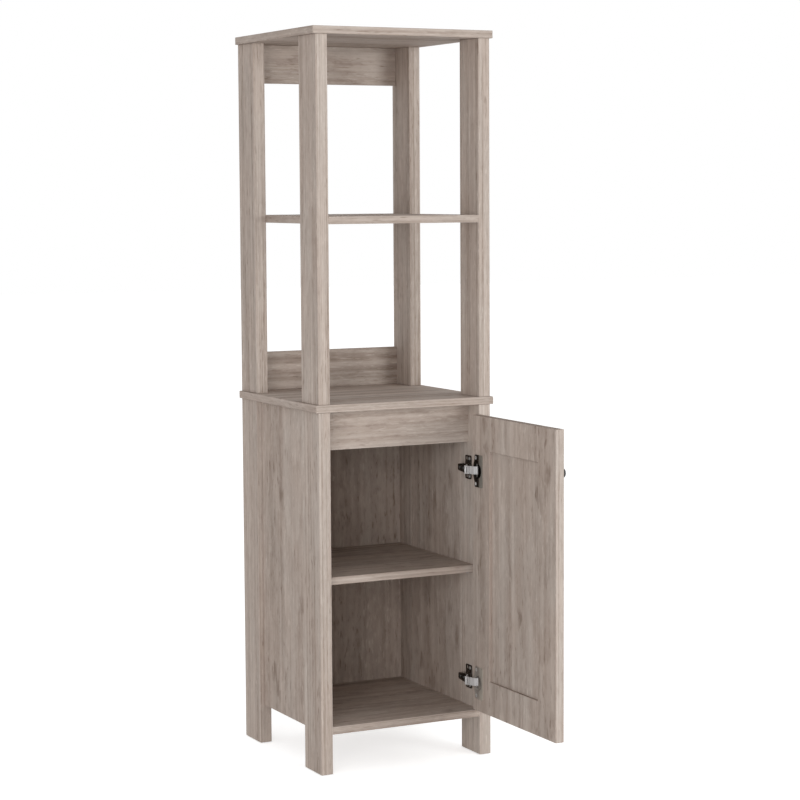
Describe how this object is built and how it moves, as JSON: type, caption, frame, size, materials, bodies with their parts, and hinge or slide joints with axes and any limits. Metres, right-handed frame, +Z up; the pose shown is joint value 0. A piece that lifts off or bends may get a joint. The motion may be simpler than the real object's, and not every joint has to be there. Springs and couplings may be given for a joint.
{
  "type": "tall bathroom cabinet",
  "caption": "Tall wooden bathroom cabinet with open shelves between flat posts above a cupboard, whose framed door turns on concealed cup hinges.",
  "frame": {"origin": "middle of the posts' footprint, on the floor under the glides", "axes": "+X to the cabinet's right seen from the front, +Y to its back, +Z up; the door is on the -Y side"},
  "size_m": [0.39, 0.7024, 1.4525],
  "materials": {
    "oak_board": "matt wood-grain melamine on board, grey-brown oak",
    "back_board": "matt wood-grain melamine on thin board",
    "beech": "plain beech",
    "dark_metal": "satin black nickel",
    "bright_metal": "satin nickel plate",
    "dark_plastic": "matt"
  },
  "bodies": {
    "cabinet": {"cap": "oak_board", "upper_shelf": "oak_board", "upper_back_rail": "oak_board", "backsplash_rail": "oak_board", "countertop": "oak_board", "upper_post_front_left": "oak_board", "upper_post_front_right": "oak_board", "upper_post_back_left": "oak_board", "upper_post_back_right": "oak_board", "lower_post_front_left": "oak_board", "lower_post_front_right": "oak_board", "lower_post_back_left": "oak_board", "lower_post_back_right": "oak_board", "side_panel_left": "oak_board", "side_panel_right": "oak_board", "bottom_panel": "oak_board", "inner_shelf": "oak_board", "header_rail": "oak_board", "back_panel": "back_board", "upper_hinge_plate": "dark_metal", "lower_hinge_plate": "dark_metal", "upper_hinge_arm": "dark_metal", "lower_hinge_arm": "dark_metal", "upper_hinge_crank": "bright_metal", "lower_hinge_crank": "bright_metal", "hinge_arm_pins": "dark_metal", "hinge_plate_screws": "bright_metal", "hinge_arm_screws": "dark_metal", "shelf_pins": "bright_metal", "leg_glides": "dark_plastic", "cam_locks": "bright_metal", "cam_bolts": "bright_metal", "cap_dowels": "beech", "counter_dowels": "beech", "side_dowels": "beech", "rail_dowels": "beech", "shelf_dowels": "beech", "counter_studs": "bright_metal", "cap_screws": "bright_metal"},
    "door": {"door_hinge_stile": "oak_board", "door_free_stile": "oak_board", "door_top_rail": "oak_board", "door_bottom_rail": "oak_board", "door_centre_panel": "oak_board", "knob": "dark_metal", "knob_screw": "bright_metal", "upper_hinge_cup": "dark_metal", "lower_hinge_cup": "dark_metal", "upper_hinge_cup_lever": "bright_metal", "lower_hinge_cup_lever": "bright_metal", "hinge_cup_pins": "dark_metal", "hinge_cup_screws": "bright_metal"},
    "hinge_links": {"upper_hinge_link": "bright_metal", "lower_hinge_link": "bright_metal"}
  },
  "joints": [
    {"name": "door_hinge", "type": "hinge", "parent": "cabinet", "child": "door", "pos_m": [0.1647, -0.187, 0.39555], "axis": [0, 0, 1], "range_deg": [-90, 15]},
    {"name": "hinge_link_turn", "type": "hinge", "parent": "cabinet", "child": "hinge_links", "pos_m": [0.139, -0.177, 0.36915], "axis": [0, 0, 1], "range_deg": [-90, 15]}
  ],
  "couplings": [
    {"joint": "hinge_link_turn", "follows": "door_hinge", "ratio": 1}
  ]
}
